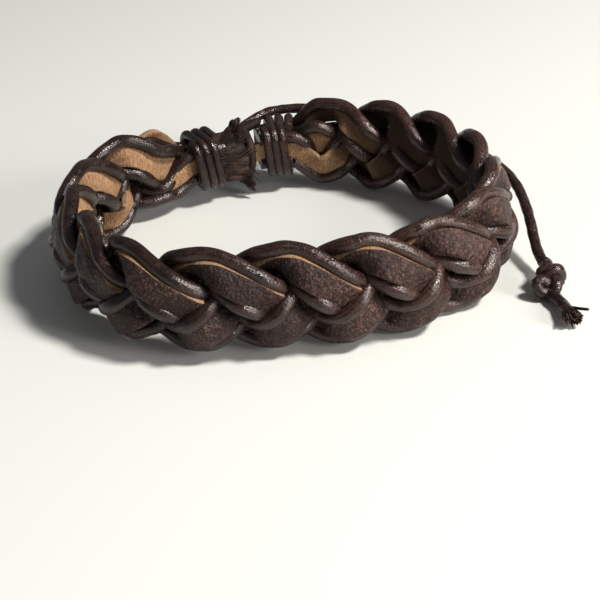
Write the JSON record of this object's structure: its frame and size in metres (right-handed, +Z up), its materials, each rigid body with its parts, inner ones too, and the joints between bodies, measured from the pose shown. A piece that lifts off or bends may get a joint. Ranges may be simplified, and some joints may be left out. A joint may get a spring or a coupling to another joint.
{
  "type": "braided leather bracelet",
  "caption": "Braided bracelet of leather strips between waxed cords, bound into a loop at the back, with a knotted pull cord lying beside it.",
  "frame": {"origin": "centre of the loop's box, on the surface that the bracelet lies on", "axes": "+X to the right of the closure as the bracelet is looked at from its front, +Y towards the closure, +Z up along the loop's hole"},
  "size_m": [0.077, 0.0665, 0.0162],
  "materials": {
    "leather": "dark brown pebbled grain outside, tan suede inside",
    "braid_cord": "dark brown waxed cotton, satin",
    "wrap_cord": "dark brown waxed cotton, satin",
    "frayed_ends": "dark brown frayed cotton, matt",
    "pull_cord": "dark brown waxed cotton, satin"
  },
  "bodies": {
    "root": {"leather_strip_1": "leather", "leather_strip_2": "leather", "leather_strip_3": "leather", "upper_cord_1": "braid_cord", "upper_cord_2": "braid_cord", "upper_cord_3": "braid_cord", "lower_cord_1": "braid_cord", "lower_cord_2": "braid_cord", "lower_cord_3": "braid_cord", "right_wrap": "wrap_cord", "left_wrap": "wrap_cord", "cut_ends": "frayed_ends", "pull_cord": "pull_cord", "pull_knot": "pull_cord"}
  },
  "joints": []
}
